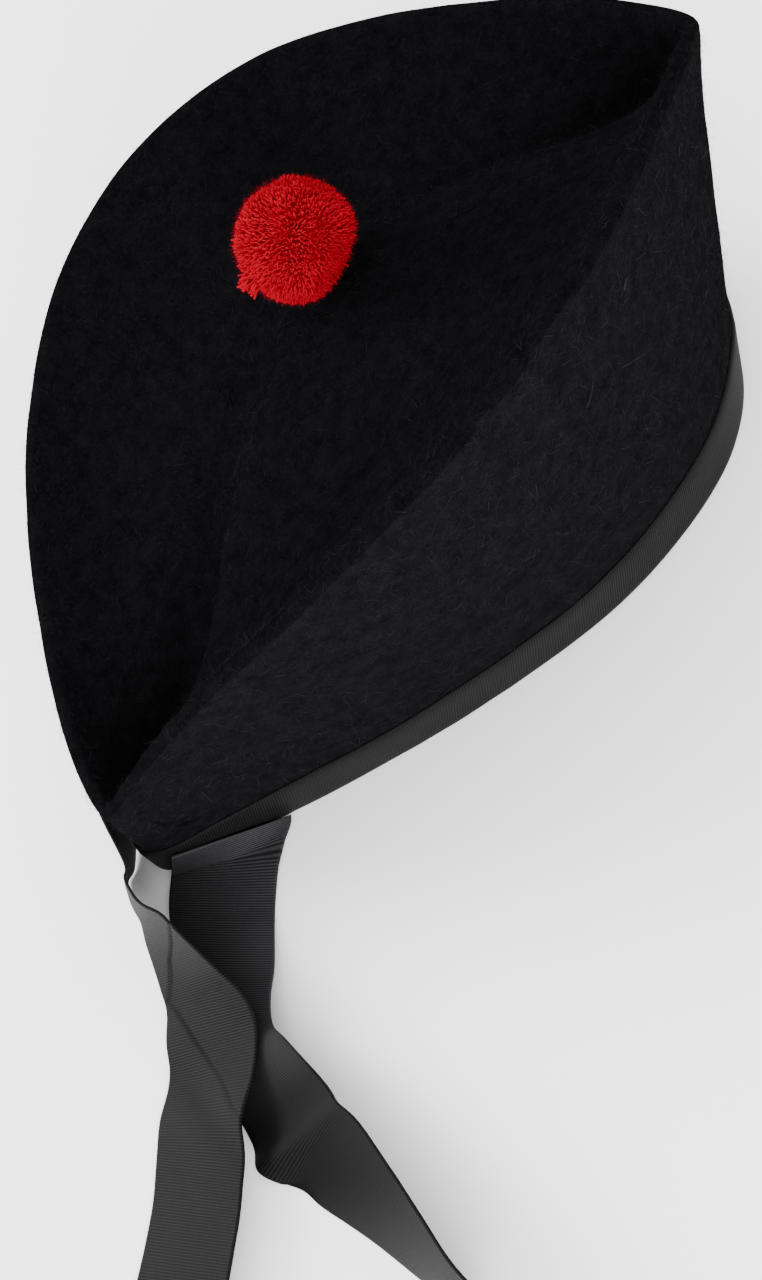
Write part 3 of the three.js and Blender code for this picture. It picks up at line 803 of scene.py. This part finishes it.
class GLENGARRY_OT_binding(bpy.types.Operator):
    """Fold the grosgrain binding over the rim"""

    bl_idname = "glengarry.binding"
    bl_label = "Rim binding"

    def execute(self, context):
        settings = context.scene.glengarry_ribbon
        out, within = SEAM_GAP + BINDING, FELT + SEAM_GAP
        profile = [
            (0.05, BINDING_HEIGHT + 0.2),
            (out - 0.45, BINDING_HEIGHT - 0.2),
            (out - 0.2, BINDING_HEIGHT - 1),
            *[(out, height) for height in (15, 12, 9, 6, 3.5, 2)],
            (out - 0.1, 0.6),
            (out - 0.5, 0.12),
            (out - 1.1, 0),
            (-within + 0.1, 0),
            (-within - 0.5, 0.12),
            (-within - 0.9, 0.6),
            (-within - BINDING, 2),
            (-within - BINDING, 6),
            (-within - BINDING, BINDING_HEIGHT - 0.4),
            (-within - BINDING + 0.5, BINDING_HEIGHT),
            (-within, BINDING_HEIGHT - 0.5),
            (-within, BINDING),
            (SEAM_GAP, BINDING),
            (SEAM_GAP / 2, BINDING_HEIGHT - 0.5),
        ]
        profile.append(profile[0])
        loops = [FORM.wall_loop(lambda top, h=height: h + 0 * top, outset) for outset, height in profile]
        rows = [placed(np.concatenate([loop, loop[:1]])) for loop in loops]
        spans = np.linalg.norm(np.diff(rows[0], axis=0), axis=1)
        run = np.concatenate([[0], np.cumsum(spans)])
        legs = [math.dist(a, b) for a, b in zip(profile, profile[1:])]
        reach = np.concatenate([[0], np.cumsum(legs)]) * MM
        uvs = [[(float(r), float(s)) for s in run] for r in reach]
        bm = ribbed_grid([[Vector(p) for p in row] for row in rows], uvs)
        bmesh.ops.remove_doubles(bm, verts=bm.verts, dist=0.005 * MM)
        unevenness = context.scene.glengarry_felt.unevenness
        for vert in bm.verts:
            vert.co += slump(vert.co, unevenness)
        binding = new_object("grosgrain_binding", bm)
        shade_smooth(binding)
        binding.data.materials.append(grosgrain_material("binding_grosgrain", settings, 1.0))
        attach(binding, "root")
        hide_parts("rim_binding")
        return {"FINISHED"}


def catmull(points, t):
    """A point on the smooth curve through the points, at a share of its stations."""
    points = [Vector(p) for p in points]
    place = t * (len(points) - 1)
    i = min(int(place), len(points) - 2)
    w = place - i
    first = points[i - 1] if i > 0 else 2 * points[0] - points[1]
    last = points[i + 2] if i + 2 < len(points) else 2 * points[-1] - points[-2]
    a, b = points[i], points[i + 1]
    leave, arrive = (b - first) * 0.5, (last - a) * 0.5
    return (
        a * (2 * w**3 - 3 * w**2 + 1)
        + leave * (w**3 - 2 * w**2 + w)
        + b * (3 * w**2 - 2 * w**3)
        + arrive * (w**3 - w**2)
    )


def route_stations(route):
    """Left edge and across direction of the stations that lie on the table."""
    rear = SOLID_FORM.rim[0]
    for back, aside, rise, bearing, tilt in route:
        plan, lift = math.radians(bearing), math.radians(tilt)
        left = (
            rear[0] - back * TAIL_WIDTH,
            rear[1] - aside * TAIL_WIDTH,
            TAIL_THICKNESS / 2 + rise * TAIL_THICKNESS,
        )
        level = math.cos(lift)
        yield left, (math.cos(plan) * level, math.sin(plan) * level, math.sin(lift))


def near_stations():
    outset = 2 * SEAM_GAP + BINDING + TAIL_THICKNESS / 2
    stations = []
    for left, right in NEAR_HEM:
        a = SOLID_FORM.wall_place(NEAR, left[0], left[1], outset + left[2])
        b = SOLID_FORM.wall_place(NEAR, right[0], right[1], outset + right[2])
        stations.append((a, (b - a) / np.linalg.norm(b - a)))
    return [*stations, *route_stations(NEAR_ROUTE)]


def far_stations():
    outset = 3 * SEAM_GAP + BINDING + TAIL_THICKNESS
    stations = []
    for setback in FAR_HEM_SETBACKS:
        low = SOLID_FORM.wall_place(FAR, setback, TAIL_THICKNESS, outset)
        high = SOLID_FORM.wall_place(FAR, setback, TAIL_WIDTH, outset)
        stations.append((low, (high - low) / np.linalg.norm(high - low)))
    return [*stations, *route_stations(FAR_ROUTE)]


def ribbon_rows(stations, steps, across, lift_of):
    """Rows of points along a ribbon, with the length reached at its middle by each."""
    lefts = [catmull([s[0] for s in stations], k / steps) for k in range(steps + 1)]
    sides = [catmull([s[1] for s in stations], k / steps).normalized() for k in range(steps + 1)]
    centres = [left + side * TAIL_WIDTH / 2 for left, side in zip(lefts, sides)]
    reached = [0.0]
    for a, b in zip(centres, centres[1:]):
        reached.append(reached[-1] + (b - a).length)
    rows = []
    for k in range(steps + 1):
        ahead = centres[min(k + 1, steps)] - centres[max(k - 1, 0)]
        normal = sides[k].cross(ahead).normalized()
        row = []
        for i in range(across + 1):
            w = i / across
            point = lefts[k] + sides[k] * TAIL_WIDTH * w
            row.append(point + normal * lift_of(reached[k], w))
        rows.append(row)
    return rows, reached


def make_tail(name, stations, settings, lift_of):
    """A ribbon tail with its UV map in metres, and its length along the middle."""
    rows, reached = ribbon_rows(stations, TAIL_STEPS, TAIL_ACROSS, lift_of)
    uvs = [
        [(TAIL_WIDTH * MM * i / TAIL_ACROSS, s * MM) for i in range(TAIL_ACROSS + 1)] for s in reached
    ]
    metres = [[Vector(p) for p in placed([tuple(q) for q in row])] for row in rows]
    floor = settings.thickness / 2 + 0.02 * MM
    for row in metres:
        for point in row:
            point.z = max(point.z, floor)
    tail = new_object(name, ribbed_grid(metres, uvs))
    shade_smooth(tail)
    solid = tail.modifiers.new("thickness", "SOLIDIFY")
    solid.thickness = settings.thickness
    solid.offset = 0
    return tail, reached[-1] * MM


def swell(x, middle, reach):
    return math.exp(-(((x - middle) / reach) ** 2))


def near_lift(s, w):
    """Waves of the near tail off its smooth run, in millimetres, at s along it and w across."""
    slant = s - 6 * (w - 0.5)
    wave = 1.4 * swell(slant, 99, 9) - 3.2 * swell(slant, 113, 4.5) + 1.4 * swell(slant, 124, 7)
    return wave * (1 - 0.75 * w) + 0.3 * math.sin(s / 17) * math.sin(math.pi * w)


# Where the near tail's left edge shows through the far tail: length along the far tail and
# distance from its left edge, in millimetres.
UNDER_EDGE = ((60, 60), (71.6, 36), (83, 13.7), (96.6, 1.5), (106.8, 10), (118.4, 19), (131, 33), (140, 60))


def far_lift(s, w):
    """Waves of the far tail off its smooth run, with the near tail showing through it."""
    lengths, places = zip(*UNDER_EDGE)
    past = w * TAIL_WIDTH - float(np.interp(s, lengths, places))
    step = min(1, max(0, past / 1.2 + 0.5))
    through = 0.55 * step * step * (3 - 2 * step) * swell(s, 100, 34) + 0.3 * swell(past, 0, 0.8)
    crease = 1.0 * swell(s - 26 * (w - 0.5), 127, 6)
    return through + crease + 0.3 * math.sin(s / 14 + 1) * math.sin(math.pi * w)


def stitches(name, runs, length, gap, thick):
    """Short capsules of thread along runs of points, each point with the surface's normal."""
    bm = bmesh.new()
    for run in runs:
        spots = [p for p, _ in run]
        reached = [0.0]
        for a, b in zip(spots, spots[1:]):
            reached.append(reached[-1] + (b - a).length)
        at = gap
        while at + length < reached[-1]:
            k = max(i for i, r in enumerate(reached[:-1]) if r <= at)
            ahead = (spots[k + 1] - spots[k]).normalized()
            middle = spots[k] + ahead * (at - reached[k] + length / 2) + run[k][1] * thick * 0.4
            made = bmesh.ops.create_cone(
                bm, cap_ends=True, segments=6, radius1=thick, radius2=thick, depth=length
            )
            turn = ahead.to_track_quat("Z", "X").to_matrix().to_4x4()
            bmesh.ops.transform(bm, matrix=Matrix.Translation(middle) @ turn, verts=made["verts"])
            at += length + gap
    return new_object(name, bm)


class GLENGARRY_OT_tails(bpy.types.Operator):
    """Lay the two ribbon tails from the back of the cap onto the table"""

    bl_idname = "glengarry.tails"
    bl_label = "Ribbon tails"

    def execute(self, context):
        settings = context.scene.glengarry_ribbon
        # The near tail's copy of the grosgrain is painted darker and the far tail's lighter, by the tints
        # 0.85 and 1.1: painted light on lit and shaded copies of one ribbon.
        for name, node, stations, lift_of, tint, hem_painted_light in (
            ("near_ribbon_tail", "near_tail", near_stations(), near_lift, 0.85, 4.4),
            ("far_ribbon_tail", "far_tail", far_stations(), far_lift, 1.1, 1.1),
        ):
            tail, length = make_tail(name, stations, settings, lift_of)
            # hem_painted_light paints the tail lighter near its hem: painted light, 4.4 times on the near
            # tail where the cap shades it.
            tail.data.materials.append(grosgrain_material(f"{node}_grosgrain", settings, tint, hem_painted_light))
            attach(tail, "root")
            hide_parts(node)
        rows, reached = ribbon_rows(near_stations(), TAIL_STEPS, TAIL_ACROSS, near_lift)
        runs = []
        for at, first, last in HEM_ROWS:
            k = next(i for i, r in enumerate(reached) if r >= at)
            run = []
            for i in range(first, last):
                normal = (rows[k][i + 1] - rows[k][i - 1]).cross(rows[k + 1][i] - rows[k][i]).normalized()
                spot = Vector(placed(tuple(rows[k][i]))) + normal * settings.thickness / 2
                run.append((spot, normal))
            runs.append(run)
        thread = stitches("hem_stitches", runs, STITCH_LENGTH * MM, STITCH_GAP * MM, STITCH_RADIUS * MM)
        thread.data.materials.append(new_material("black_thread", HEM_THREAD, 0.5, specular=0.15)[0])
        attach(thread, "root")
        return {"FINISHED"}


def worn_and_painted_light(direction):
    """The toorie's reach in a direction, as a share: less where it is worn flat."""
    worn_side = (CAMERA_RIGHT * 0.95 + CAMERA_DOWN * 0.5 - CAMERA_FORWARD * 0.2).normalized()
    facing = direction.normalized().dot(worn_side)
    return 1 - WORN_DEPTH * max(0, (facing - WORN_FACING) / WORN_SPREAD)


class GLENGARRY_OT_toorie(bpy.types.Operator):
    """Wind the wool toorie: a round head under thousands of cut yarn ends"""

    bl_idname = "glengarry.toorie"
    bl_label = "Toorie"

    def execute(self, context):
        settings = context.scene.glengarry_toorie
        rng = random.Random(TOORIE_SEED)
        low, high = (Vector(corner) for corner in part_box("toorie"))
        middle, radius = (low + high) / 2, (high - low).length / (2 * math.sqrt(3))
        head = bmesh.new()
        bmesh.ops.create_icosphere(head, subdivisions=4, radius=radius * HEAD_REACH)
        for vert in head.verts:
            vert.co = vert.co * worn_and_painted_light(vert.co) + wander(vert.co, 260, 2) * 0.9 * MM
        bmesh.ops.translate(head, verts=head.verts, vec=middle)
        core = new_object("toorie_head", head)
        shade_smooth(core)
        # The head under the yarn ends takes the wool's colour at 0.45: painted shade deep in the toorie.
        core.data.materials.append(yarn_material("toorie_core_painted_shade", settings, 0.45))

        strands = [
            strand_mesh(f"yarn_{k}", 4, 2, 0.12, girth, 0.8 * girth) for k, girth in enumerate(YARN_GIRTHS)
        ]
        places = []
        golden = math.pi * (3 - math.sqrt(5))
        tuft = (-CAMERA_RIGHT * 0.78 + CAMERA_DOWN * 0.72).normalized()
        for k in range(settings.yarns):
            height = 1 - (2 * k + 1) / settings.yarns
            ring = math.sqrt(1 - height * height)
            direction = Vector((ring * math.cos(golden * k), ring * math.sin(golden * k), height))
            clump = wander(direction * 2.6, 1, 7)
            lean = clump * 0.55 + Vector([rng.gauss(0, 0.2) for _ in range(3)])
            aim = (direction + lean).normalized()
            reach = radius * (worn_and_painted_light(direction) - 0.025 + 0.06 * clump.x + rng.gauss(0, 0.012))
            if direction.dot(tuft) > TUFT_FACING:
                reach += radius * rng.uniform(0, TUFT_GROWTH)
            elif rng.random() < 0.01:
                reach *= rng.uniform(1.02, 1.06)
            root = radius * YARN_ROOT * worn_and_painted_light(direction)
            start = direction * root
            length = max(reach - root, 2 * MM)
            matrix = (
                Matrix.Translation(middle + start)
                @ aim.to_track_quat("Z", "X").to_matrix().to_4x4()
                @ Matrix.Rotation(rng.uniform(0, 2 * math.pi), 4, "Z")
                @ Matrix.Scale(length, 4)
            )
            places.append((rng.randrange(len(strands)), matrix))
        yarn = new_object("toorie_yarn", planted(strands, places))
        shade_smooth(yarn)
        yarn.data.materials.append(yarn_material("toorie_wool", settings, 1))
        skin = bmesh.new()
        bmesh.ops.create_icosphere(skin, subdivisions=3, radius=radius * SKIN_REACH)
        for vert in skin.verts:
            vert.co *= worn_and_painted_light(vert.co)
        bmesh.ops.translate(skin, verts=skin.verts, vec=middle)
        shell = bpy.data.meshes.new("toorie_skin")
        skin.to_mesh(shell)
        skin.free()
        fluff = scatter_hairs(
            "toorie_fluff", shell.polygons, shell.vertices, FLUFF_HAIRS,
            lambda draw: draw.uniform(*FLUFF_LENGTHS) * MM, lambda draw: draw.uniform(*FLUFF_LEANS), rng,
        )
        bpy.data.meshes.remove(shell)
        fluff.data.materials.append(yarn.data.materials[0])
        for obj in (core, yarn, fluff):
            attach(obj, "root")
        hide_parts("toorie")
        return {"FINISHED"}


# Rows of the camera: right, down and forward, and its place in the cap's own frame.
CAMERA_RIGHT = Vector((0.676457631, -0.576114314, -0.458799925))
CAMERA_DOWN = Vector((-0.733255162, -0.468594763, -0.492702562))
CAMERA_FORWARD = Vector((0.068861756, 0.669709822, -0.739423298))
CAMERA_PLACE = (-75.870529, -477.681096, 521.448609)
CAMERA_LENS = 113.512


class GLENGARRY_OT_stage(bpy.types.Operator):
    """Set the table, the lights and the camera"""

    bl_idname = "glengarry.stage"
    bl_label = "Stage"

    def execute(self, context):
        settings = context.scene.glengarry_stage
        scene = context.scene
        bm = bmesh.new()
        bmesh.ops.create_grid(bm, x_segments=1, y_segments=1, size=TABLE_HALF_WIDTH)
        table = new_object("table", bm)
        table.data.materials.append(
            new_material("pale_table", settings.floor_colour, 0.9, specular=0.1)[0]
        )

        for name, power, size, place in (
            ("key_softbox", settings.key_power, KEY_SIZE, KEY_PLACE),
            ("fill_softbox", settings.fill_power, FILL_SIZE, FILL_PLACE),
        ):
            data = bpy.data.lights.new(name, "AREA")
            data.energy, data.size = power, size
            lamp = bpy.data.objects.new(name, data)
            lamp.location = place
            lamp.rotation_euler = (Vector(LIGHT_AIM) - Vector(place)).to_track_quat("-Z", "Y").to_euler()
            scene.collection.objects.link(lamp)

        world = bpy.data.worlds.new("studio")
        world.use_nodes = True
        room = world.node_tree.nodes["Background"]
        room.inputs["Color"].default_value = (1, 1, 1, 1)
        room.inputs["Strength"].default_value = settings.sky
        scene.world = world

        data = bpy.data.cameras.new("photo_camera")
        data.sensor_fit = "HORIZONTAL"
        data.sensor_width = 36
        data.lens = CAMERA_LENS
        camera = bpy.data.objects.new("photo_camera", data)
        turn = Matrix((CAMERA_RIGHT, -CAMERA_DOWN, -CAMERA_FORWARD)).transposed()
        camera.matrix_world = Matrix.Translation(Vector(placed(CAMERA_PLACE))) @ turn.to_4x4()
        scene.collection.objects.link(camera)
        scene.camera = camera
        return {"FINISHED"}


class GLENGARRY_PT_panel(bpy.types.Panel):
    """Lists the glengarry's pieces in the sidebar"""

    bl_idname = "GLENGARRY_PT_panel"
    bl_label = "Glengarry"
    bl_space_type = "VIEW_3D"
    bl_region_type = "UI"
    bl_category = "Glengarry"

    def draw(self, context):
        for operator in OPERATORS:
            self.layout.operator(operator.bl_idname)
        for group, props in (
            (context.scene.glengarry_felt, ("colour", "nap_colour", "nap_hairs", "nap_length", "unevenness")),
            (context.scene.glengarry_ribbon, ("colour", "rib_pitch", "thickness")),
            (context.scene.glengarry_toorie, ("colour", "yarns")),
            (context.scene.glengarry_stage, ("floor_colour", "key_power", "fill_power", "sky")),
        ):
            for prop in props:
                self.layout.prop(group, prop)


SETTINGS = {
    "glengarry_felt": FeltSettings,
    "glengarry_ribbon": RibbonSettings,
    "glengarry_toorie": ToorieSettings,
    "glengarry_stage": StageSettings,
}
OPERATORS = (
    GLENGARRY_OT_cap,
    GLENGARRY_OT_nap,
    GLENGARRY_OT_binding,
    GLENGARRY_OT_tails,
    GLENGARRY_OT_toorie,
    GLENGARRY_OT_stage,
)


def register():
    for cls in (*SETTINGS.values(), *OPERATORS, GLENGARRY_PT_panel):
        bpy.utils.register_class(cls)
    for name, cls in SETTINGS.items():
        setattr(bpy.types.Scene, name, PointerProperty(type=cls))


def unregister():
    for name in SETTINGS:
        delattr(bpy.types.Scene, name)
    for cls in reversed((*SETTINGS.values(), *OPERATORS, GLENGARRY_PT_panel)):
        bpy.utils.unregister_class(cls)


def main():
    register()
    bpy.ops.glengarry.cap()
    bpy.ops.glengarry.nap()
    bpy.ops.glengarry.binding()
    bpy.ops.glengarry.tails()
    bpy.ops.glengarry.toorie()
    bpy.ops.glengarry.stage()


if __name__ == "__main__":
    main()
